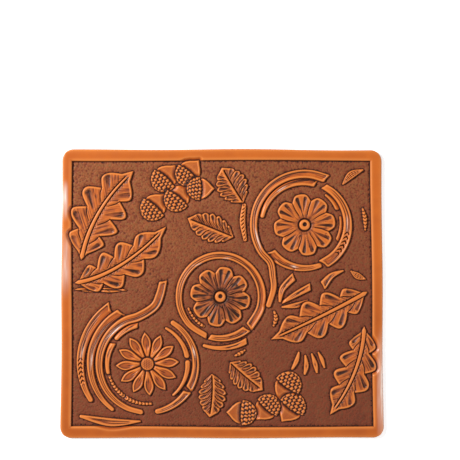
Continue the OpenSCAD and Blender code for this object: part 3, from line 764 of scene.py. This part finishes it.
P3 = np.stack([X, Y, H], -1).astype(np.float64)
du, dv = np.gradient(P3, axis=1), np.gradient(P3, axis=0)
N3 = np.cross(du, dv)
N3 /= np.linalg.norm(N3, axis=-1, keepdims=True)

# ------------------------------------------------------------------ materials


def ramp(nt, pts, interp="LINEAR"):
    n = nt.nodes.new("ShaderNodeValToRGB")
    n.color_ramp.interpolation = interp
    while len(n.color_ramp.elements) < len(pts):
        n.color_ramp.elements.new(0.5)
    for e, (p, c) in zip(n.color_ramp.elements, pts):
        e.position = p
        e.color = (*c, 1)
    return n


def attr(nt, name):
    n = nt.nodes.new("ShaderNodeAttribute")
    n.attribute_name = name
    return n.outputs["Fac"]


def math_(nt, op, a, b=None, c=None, clamp=False):
    n = nt.nodes.new("ShaderNodeMath")
    n.operation = op
    n.use_clamp = clamp
    for i, v in enumerate((a, b, c)):
        if v is None:
            continue
        if isinstance(v, (int, float)):
            n.inputs[i].default_value = v
        else:
            nt.links.new(v, n.inputs[i])
    return n.outputs[0]


def mix(nt, fac, a, b, mode="MIX"):
    n = nt.nodes.new("ShaderNodeMix")
    n.data_type = "RGBA"
    n.blend_type = mode
    for sock, v in ((n.inputs[0], fac), (n.inputs[6], a), (n.inputs[7], b)):
        if isinstance(v, (int, float)):
            sock.default_value = v
        elif isinstance(v, tuple):
            sock.default_value = (*v, 1)
        else:
            nt.links.new(v, sock)
    return n.outputs[2]


def noise(nt, vec, scale, detail=3, rough=0.55):
    n = nt.nodes.new("ShaderNodeTexNoise")
    n.inputs["Scale"].default_value = scale
    n.inputs["Detail"].default_value = detail
    n.inputs["Roughness"].default_value = rough
    nt.links.new(vec, n.inputs["Vector"])
    return n.outputs["Fac"]


def grain_material(name, tan, tan2, ground, ground2, stain, rough=0.42, coat=0.11):
    m = bpy.data.materials.new(name)
    m.use_nodes = True
    nt = m.node_tree
    nt.nodes.clear()
    out = nt.nodes.new("ShaderNodeOutputMaterial")
    bs = nt.nodes.new("ShaderNodeBsdfPrincipled")
    nt.links.new(bs.outputs[0], out.inputs[0])
    tc = nt.nodes.new("ShaderNodeTexCoord").outputs["Object"]
    tone, dark, grain, worn_and_highlight, painted_highlight, colour_drift = (attr(nt, n) for n in ("tone", "dark", "grain", "worn_and_highlight", "painted_highlight", "colour_drift"))
    broad_n, mid_n, fine_n = noise(nt, tc, 45, 3), noise(nt, tc, 260, 4), noise(nt, tc, 1400, 3, 0.6)
    tan_c = mix(nt, broad_n, tan, tan2)
    tan_c = mix(nt, math_(nt, "MULTIPLY_ADD", mid_n, 0.5, -0.12, clamp=True), tan_c, (tan[0] * 0.62, tan[1] * 0.52, tan[2] * 0.5))
    gr = mix(nt, mid_n, ground, ground2)
    gr = mix(nt, math_(nt, "MULTIPLY_ADD", fine_n, 1.2, -0.45, clamp=True), gr, (ground[0] * 0.45, ground[1] * 0.42, ground[2] * 0.42))
    col = mix(nt, math_(nt, "MULTIPLY", tone, 1.0, clamp=True), gr, tan_c)
    hue_n = noise(nt, tc, 620, 2, 0.5)
    hue = mix(nt, math_(nt, "MULTIPLY_ADD", hue_n, 3.0, -1.0, clamp=True), (1.12, 0.92, 0.90), (0.90, 1.12, 1.12))
    col = mix(nt, math_(nt, "SUBTRACT", 1.0, tone, clamp=True), col, mix(nt, 1.0, col, hue, "MULTIPLY"))
    col = mix(nt, colour_drift, mix(nt, 1.0, col, (1.08, 1.08, 0.98), "MULTIPLY"), mix(nt, 1.0, col, (0.56, 0.43, 0.52), "MULTIPLY"))
    # stain lies unevenly, so its edge is broken up by the grain; thin stain is red-brown, thick stain nearly black
    d = math_(nt, "ADD", dark, math_(nt, "MULTIPLY_ADD", fine_n, 0.26, -0.13))
    for lo, hi, c, k in ((0.06, 0.60, (0.225, 0.046, 0.016), 0.82), (0.47, 1.08, stain, 1.0)):
        n = nt.nodes.new("ShaderNodeMapRange")
        n.interpolation_type = "SMOOTHSTEP"
        n.inputs["From Min"].default_value = lo
        n.inputs["From Max"].default_value = hi
        n.inputs["To Max"].default_value = k
        nt.links.new(d, n.inputs["Value"])
        col = mix(nt, n.outputs[0], col, c)
    # high spots are rubbed back to a paler tan, which also serves as a painted highlight along raised edges
    col = mix(nt, math_(nt, "MULTIPLY", math_(nt, "MULTIPLY", worn_and_highlight, tone), 0.75, clamp=True), col, (0.82, 0.27, 0.06))
    # painted highlight: pale reflection patches mixed into the colour
    col = mix(nt, math_(nt, "MULTIPLY", painted_highlight, 0.88, clamp=True), col, (0.95, 0.82, 0.74))
    nt.links.new(col, bs.inputs["Base Color"])
    r = math_(nt, "MULTIPLY_ADD", mid_n, 0.22, rough - 0.11)
    r = math_(nt, "ADD", r, math_(nt, "MULTIPLY", math_(nt, "SUBTRACT", 1.0, tone, clamp=True), 0.22))
    r = math_(nt, "SUBTRACT", r, math_(nt, "MULTIPLY", painted_highlight, 0.10), clamp=True)
    nt.links.new(r, bs.inputs["Roughness"])
    bs.inputs["Specular IOR Level"].default_value = 0.28
    bs.inputs["Coat Weight"].default_value = coat
    bs.inputs["Coat Roughness"].default_value = 0.28
    # pores and creases
    v = nt.nodes.new("ShaderNodeTexVoronoi")
    v.feature = "DISTANCE_TO_EDGE"
    v.inputs["Scale"].default_value = 1700
    nt.links.new(tc, v.inputs["Vector"])
    pores = math_(nt, "MULTIPLY", v.outputs["Distance"], 1.6, clamp=True)
    hgt = math_(nt, "ADD", math_(nt, "MULTIPLY", pores, 0.45), math_(nt, "MULTIPLY", fine_n, 0.8))
    hgt = math_(nt, "MULTIPLY", hgt, grain)
    b = nt.nodes.new("ShaderNodeBump")
    b.inputs["Strength"].default_value = 0.45
    b.inputs["Distance"].default_value = 0.00006
    nt.links.new(hgt, b.inputs["Height"])
    nt.links.new(b.outputs[0], bs.inputs["Normal"])
    return m


def plain_material(name, a, b2, rough, scale, bump_d):
    m = bpy.data.materials.new(name)
    m.use_nodes = True
    nt = m.node_tree
    bs = nt.nodes["Principled BSDF"]
    tc = nt.nodes.new("ShaderNodeTexCoord").outputs["Object"]
    n1, n2 = noise(nt, tc, scale, 5, 0.65), noise(nt, tc, scale * 6, 3, 0.6)
    col = mix(nt, n1, a, b2)
    col = mix(nt, math_(nt, "MULTIPLY_ADD", n2, 0.8, -0.3, clamp=True), col, tuple(0.6 * c for c in a))
    nt.links.new(col, bs.inputs["Base Color"])
    nt.links.new(math_(nt, "MULTIPLY_ADD", n2, 0.2, rough - 0.1), bs.inputs["Roughness"])
    b = nt.nodes.new("ShaderNodeBump")
    b.inputs["Strength"].default_value = 0.6
    b.inputs["Distance"].default_value = bump_d
    nt.links.new(n2, b.inputs["Height"])
    nt.links.new(b.outputs[0], bs.inputs["Normal"])
    return m


TAN, TAN2 = (0.73, 0.168, 0.016), (0.60, 0.118, 0.012)
GR, GR2 = (0.345, 0.108, 0.034), (0.235, 0.070, 0.024)
STAIN = (0.028, 0.007, 0.004)
M_CARVED = grain_material("carved_leather", TAN, TAN2, GR, GR2, STAIN)
M_GROUND = grain_material("matted_leather", TAN, TAN2, GR, GR2, STAIN, 0.5, 0.05)
M_RIM = grain_material("border_leather", (0.625, 0.150, 0.018), (0.53, 0.112, 0.014), GR, GR2, STAIN, 0.36, 0.22)
M_EDGE = plain_material("burnished_edge", (0.36, 0.12, 0.035), (0.28, 0.085, 0.028), 0.42, 180, 0.00008)
M_FLESH = plain_material("flesh_side", (0.50, 0.30, 0.18), (0.40, 0.22, 0.12), 0.85, 300, 0.00025)

# ------------------------------------------------------------------ meshes
MM = 0.001


def build(name, full, low=None, zb=CORE, top_mat=None, round_base=False):
    """a closed mesh: relief over the cells in full, a flat step at CORE over the cells in low, walls and a flat base at zb"""
    low = np.zeros_like(full) if low is None else low
    solid = full | low
    if not solid.any():
        return None
    verts, nrm_loops, faces, mats, uvs = [], [], [], [], []
    att = []
    # top surface
    tid = np.full((NY + 1, NX + 1), -1, np.int64)
    used = np.zeros((NY + 1, NX + 1), bool)
    fi, fj = np.nonzero(full)
    for a, b in ((0, 0), (0, 1), (1, 0), (1, 1)):
        used[fi + a, fj + b] = True
    ui, uj = np.nonzero(used)
    tid[ui, uj] = np.arange(len(ui))
    nv = len(ui)
    V = [P3[ui, uj]]
    A = [(ui, uj)]
    quads = np.stack([tid[fi, fj], tid[fi, fj + 1], tid[fi + 1, fj + 1], tid[fi + 1, fj]], 1)

    def edges_of(mask, other=None):
        """boundary edges of mask as (i0, j0, i1, j1) running anticlockwise round the mask; other limits to edges facing that mask (or not)"""
        m = np.pad(mask, 1)
        o = np.pad(other, 1) if other is not None else None
        E = []
        for di, dj, e in ((-1, 0, (0, 0, 0, 1)), (1, 0, (1, 1, 1, 0)), (0, -1, (1, 0, 0, 0)), (0, 1, (0, 1, 1, 1))):
            nb = np.roll(np.roll(m, -di, 0), -dj, 1)
            sel = m & ~nb
            if o is not None:
                sel = m & np.roll(np.roll(o, -di, 0), -dj, 1)
            i, j = np.nonzero(sel[1:-1, 1:-1])
            E.append(np.stack([i + e[0], j + e[1], i + e[2], j + e[3]], 1))
        return np.vstack(E)

    def level(mask, z, flag_extra=None):
        """flagged vertices of a flat level and its merged row polygons"""
        flag = np.zeros((NY + 1, NX + 1), bool)
        E = edges_of(mask)
        flag[E[:, 0], E[:, 1]] = True
        flag[E[:, 2], E[:, 3]] = True
        if flag_extra is not None:
            flag |= flag_extra
        polys = []
        rows = np.nonzero(mask.any(1))[0]
        for i in rows:
            r = mask[i].astype(np.int8)
            step = np.diff(np.concatenate([[0], r, [0]]))
            for j0, j1 in zip(np.nonzero(step == 1)[0], np.nonzero(step == -1)[0]):
                lo = j0 + np.nonzero(flag[i, j0:j1 + 1])[0]
                hi = j0 + np.nonzero(flag[i + 1, j0:j1 + 1])[0]
                polys.append(([(i, j) for j in lo], [(i + 1, j) for j in hi[::-1]]))
        return flag, polys

    flag, base_polys = level(solid, zb)
    bi, bj = np.nonzero(flag)
    bid = np.full((NY + 1, NX + 1), -1, np.int64)
    bid[bi, bj] = nv + np.arange(len(bi))
    z = np.full(len(bi), zb)
    V.append(np.stack([P3[bi, bj, 0], P3[bi, bj, 1], z], 1))
    A.append((bi, bj))
    nv += len(bi)
    lid = np.full((NY + 1, NX + 1), -1, np.int64)
    low_polys = []
    if low.any():
        lflag, low_polys = level(low, CORE)
        li, lj = np.nonzero(lflag)
        lid[li, lj] = nv + np.arange(len(li))
        V.append(np.stack([P3[li, lj, 0], P3[li, lj, 1], np.full(len(li), CORE)], 1))
        A.append((li, lj))
        nv += len(li)
    V = np.vstack(V)
    ai, aj = np.concatenate([a[0] for a in A]), np.concatenate([a[1] for a in A])

    nq = len(quads)
    loop_v = [quads.ravel()]
    sizes = [np.full(nq, 4)]
    normals = [N3[ai[quads.ravel()], aj[quads.ravel()]]]
    mat_ids = [np.zeros(nq, np.int32)]
    kinds = [np.zeros(nq * 4, np.int8)]
    extra_v, extra_s, extra_n, extra_m, extra_k = [], [], [], [], []

    def face(ids, n, mat, kind):
        extra_v.extend(ids)
        extra_s.append(len(ids))
        extra_n.extend([n] * len(ids))
        extra_m.append(mat)
        extra_k.extend([kind] * len(ids))

    for lo_row, hi_row in base_polys:
        ids = [bid[p] for p in lo_row + hi_row][::-1]
        face(ids, (0, 0, -1), 2 if zb == 0 else 1, 2)
    for lo_row, hi_row in low_polys:
        face([lid[p] for p in lo_row + hi_row], (0, 0, 1), 1, 2)

    def wall(E, up_is_low):
        for i0, j0, i1, j1 in E:
            t0, t1 = (lid if up_is_low else tid)[i0, j0], (lid if up_is_low else tid)[i1, j1]
            b0, b1 = bid[i0, j0], bid[i1, j1]
            dx, dy = P3[i1, j1, 0] - P3[i0, j0, 0], P3[i1, j1, 1] - P3[i0, j0, 1]
            L = math.hypot(dx, dy) or 1
            ids = [t1, t0]
            if not up_is_low and lid[i0, j0] >= 0:
                ids.append(lid[i0, j0])
            ids += [b0, b1]
            if not up_is_low and lid[i1, j1] >= 0:
                ids.append(lid[i1, j1])
            face(ids, (dy / L, -dx / L, 0), 1, 1)

    # outer walls, from relief or step down to the base
    m = np.pad(solid, 1)

    def outside(mask):
        E = []
        mm = np.pad(mask, 1)
        for di, dj, e in ((-1, 0, (0, 0, 0, 1)), (1, 0, (1, 1, 1, 0)), (0, -1, (1, 0, 0, 0)), (0, 1, (0, 1, 1, 1))):
            nb = np.roll(np.roll(m, -di, 0), -dj, 1)
            i, j = np.nonzero((mm & ~nb)[1:-1, 1:-1])
            E.append(np.stack([i + e[0], j + e[1], i + e[2], j + e[3]], 1))
        return np.vstack(E)

    wall(outside(full), False)
    if low.any():
        wall(outside(low), True)
        for i0, j0, i1, j1 in edges_of(full, low):
            dx, dy = P3[i1, j1, 0] - P3[i0, j0, 0], P3[i1, j1, 1] - P3[i0, j0, 1]
            L = math.hypot(dx, dy) or 1
            face([tid[i1, j1], tid[i0, j0], lid[i0, j0], lid[i1, j1]], (dy / L, -dx / L, 0), 1, 1)

    loop_v = np.concatenate(loop_v + [np.array(extra_v, np.int64)])
    sizes = np.concatenate(sizes + [np.array(extra_s, np.int64)])
    normals = np.concatenate(normals + [np.array(extra_n, float).reshape(-1, 3)])
    mat_ids = np.concatenate(mat_ids + [np.array(extra_m, np.int32)])
    kinds = np.concatenate(kinds + [np.array(extra_k, np.int8)])

    me = bpy.data.meshes.new(name)
    me.vertices.add(len(V))
    me.vertices.foreach_set("co", (V * MM).astype(F32).ravel())
    me.loops.add(len(loop_v))
    me.loops.foreach_set("vertex_index", loop_v.astype(np.int32))
    me.polygons.add(len(sizes))
    starts = np.concatenate([[0], np.cumsum(sizes)[:-1]])
    me.polygons.foreach_set("loop_start", starts.astype(np.int32))
    me.polygons.foreach_set("material_index", mat_ids)
    me.polygons.foreach_set("use_smooth", np.ones(len(sizes), bool))
    me.update(calc_edges=True)
    for nm, arr in (("tone", TONE), ("dark", DARK), ("grain", GRAIN), ("worn_and_highlight", WORN_AND_HIGHLIGHT), ("painted_highlight", PAINTED_HIGHLIGHT), ("colour_drift", COLOUR_DRIFT)):
        at = me.attributes.new(nm, "FLOAT", "POINT")
        at.data.foreach_set("value", arr[ai, aj].astype(F32))
    # bake map: the carved face fills most of it, walls and base take a strip below
    uv = me.uv_layers.new(name="OFBake")
    x, y, zc = V[loop_v, 0], V[loop_v, 1], V[loop_v, 2]
    x0, x1, y0, y1 = V[:, 0].min(), V[:, 0].max(), V[:, 1].min(), V[:, 1].max()
    fx, fy = (x - x0) / max(x1 - x0, 1e-6), (y - y0) / max(y1 - y0, 1e-6)
    U = 0.01 + 0.98 * fx
    W = np.where(kinds == 0, 0.16 + 0.83 * fy, np.where(kinds == 2, 0.09 + 0.06 * fy, 0.01 + 0.06 * (zc / 3.0)))
    U = np.where(kinds == 1, 0.01 + 0.49 * fx + 0.49 * fy, U)
    uv.data.foreach_set("uv", np.stack([U, W], 1).astype(F32).ravel())
    me.materials.append(top_mat or M_CARVED)
    me.materials.append(M_EDGE)
    me.materials.append(M_FLESH)
    me.normals_split_custom_set(normals.astype(F32).tolist())
    ob = bpy.data.objects.new(name, me)
    scene.collection.objects.link(ob)
    return ob


FOLD0, FOLD1 = NY // 2 - 23, NY // 2 + 23          # rows of the strip along the fold, about 5 mm each way
rows = np.arange(NY)[:, None] + np.zeros((1, NX), int)
colm = np.arange(NX)[None, :] + np.zeros((NY, 1), int)
ZONES = [("lower", rows < FOLD0), ("fold", (rows >= FOLD0) & (rows < FOLD1)), ("upper", rows >= FOLD1)]
NODES = {
    "daisy_petals": ["daisy_petals"], "daisy_hub": ["daisy_hub"], "daisy_arch": ["daisy_arch"], "daisy_post": ["daisy_post"],
    "daisy_foot": ["daisy_foot"], "centre_petals": ["centre_petals_lower", "centre_petals_upper"],
    "centre_boss": ["centre_boss_lower", "centre_boss_upper"], "centre_ring": ["centre_ring_lower", "centre_ring_upper"],
    "centre_pod": ["centre_pod"], "corner_petals": ["corner_petals"], "corner_boss": ["corner_boss"],
    "corner_trunk": ["corner_trunk_lower", "corner_trunk_upper"], "corner_coil": ["corner_coil"],
    "corner_inner_coil": ["corner_inner_coil"], "corner_pods": ["corner_pods"], "stems": ["stems_lower", "stem_head_upper"],
    "sprays": ["sprays_lower", "sprays_upper"], "sprigs": ["sprigs"], "rope_stem": ["rope_stem"],
    "oak_top_left": ["oak_top_left"], "oak_left": ["oak_left"], "oak_small": ["oak_small"],
    "oak_right": ["oak_right_lower", "oak_right_upper"], "oak_bottom_right": ["oak_bottom_right"],
    "frill_top": ["frill_top"], "frill_mid": ["frill_mid"], "frill_bottom_left": ["frill_bottom_left"], "frill_bottom": ["frill_bottom"],
    "acorn_nuts_upper": ["acorn_nuts_upper"], "acorn_cups_upper": ["acorn_cups_upper"],
    "acorn_nuts_lower": ["acorn_nuts_lower"], "acorn_cups_lower": ["acorn_cups_lower"],
}


def place(ob, zone, nodes):
    if ob is None:
        return
    if zone == "fold":
        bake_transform(ob)
    else:
        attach(ob, zone + "_half")
    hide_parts(*nodes)


def names_in(nodes, zone):
    """the CAD nodes of a motif that lie in that zone"""
    if zone == "fold" or len(nodes) == 1:
        return nodes
    return [n for n in nodes if n.endswith(zone)] or nodes


in_field = LABEL != 1
for zone, zm in ZONES:
    # field slab with the matted ground, stepped down under the motifs
    for half, hm in (("left", colm < NX // 2), ("right", colm >= NX // 2)):
        z = zm & hm & in_field
        ob = build(f"field_{zone}_{half}", z & (LABEL == 0), z & (LABEL != 0), 0.0, M_GROUND)
        place(ob, zone, ["field_lower", "field_upper"] if zone == "fold" else ["field_" + zone])
    # border bars
    rim = zm & (LABEL == 1)
    mid = (rows > int(NY * 0.06)) & (rows < int(NY * 0.94))
    if zone == "fold":
        for half, hm in (("left", colm < NX // 2), ("right", colm >= NX // 2)):
            place(build(f"rim_{half}_fold", rim & hm, None, 0.0, M_RIM), zone, [f"rim_{half}_lower", f"rim_{half}_upper"])
    else:
        end = "bottom" if zone == "lower" else "top"
        cap = (Y[:-1, :-1] < -FY) if zone == "lower" else (Y[1:, 1:] > FY)
        place(build(f"rim_{end}", rim & cap, None, 0.0, M_RIM), zone, ["rim_" + end])
        for half, hm in (("left", colm < NX // 2), ("right", colm >= NX // 2)):
            place(build(f"rim_{half}_{zone}", rim & hm & ~cap, None, 0.0, M_RIM), zone, [f"rim_{half}_{zone}"])
    for name, nodes in NODES.items():
        if name not in NAMES:
            continue
        mask = zm & (LABEL == NAMES.index(name))
        if not mask.any():
            continue
        own = len([1 for _, o in ZONES if (o & (LABEL == NAMES.index(name))).any()]) == 1
        place(build(name if own else f"{name}_{zone}", mask), zone, names_in(nodes, zone))

# ------------------------------------------------------------------ floor, lights, camera
def floor_material():
    m = bpy.data.materials.new("floor")
    m.use_nodes = True
    bs = m.node_tree.nodes["Principled BSDF"]
    bs.inputs["Base Color"].default_value = (0.93, 0.93, 0.93, 1)
    bs.inputs["Roughness"].default_value = 0.9
    bs.inputs["Emission Color"].default_value = (1, 1, 1, 1)
    bs.inputs["Emission Strength"].default_value = 0.5
    return m


me = bpy.data.meshes.new("floor")
me.from_pydata([(-3, -3, 0), (3, -3, 0), (3, 3, 0), (-3, 3, 0)], [], [(0, 1, 2, 3)])
floor = bpy.data.objects.new("floor", me)
me.materials.append(floor_material())
scene.collection.objects.link(floor)


def area(name, loc, target, size, power, color=(1, 1, 1)):
    L = bpy.data.lights.new(name, "AREA")
    L.shape = "RECTANGLE"
    L.size, L.size_y = size
    L.energy = power
    L.color = color
    o = bpy.data.objects.new(name, L)
    o.location = loc
    o.rotation_euler = (Vector(target) - Vector(loc)).to_track_quat("-Z", "Y").to_euler()
    scene.collection.objects.link(o)
    return o


area("key", (-0.85, 0.45, 0.68), (0, 0, 0), (0.24, 0.24), 16.5)
area("fill", (0.9, -0.5, 0.75), (0, 0, 0), (0.7, 0.7), 5)
w = bpy.data.worlds.new("world")
w.use_nodes = True
w.node_tree.nodes["Background"].inputs[0].default_value = (1, 1, 1, 1)
w.node_tree.nodes["Background"].inputs[1].default_value = 0.27
scene.world = w
scene.view_settings.view_transform = "Standard"

cam = bpy.data.cameras.new("camera")
cam.lens = 85
cam.sensor_width = 36
ob = bpy.data.objects.new("camera", cam)
WIDTH = 0.28175
dist = WIDTH / 2 / math.tan(math.atan(18 / 85))
ob.location = (0.0049, 0.0389, dist)
ob.rotation_euler = (0, 0, 0)
cam.clip_start, cam.clip_end = 0.01, 20
scene.collection.objects.link(ob)
scene.camera = ob
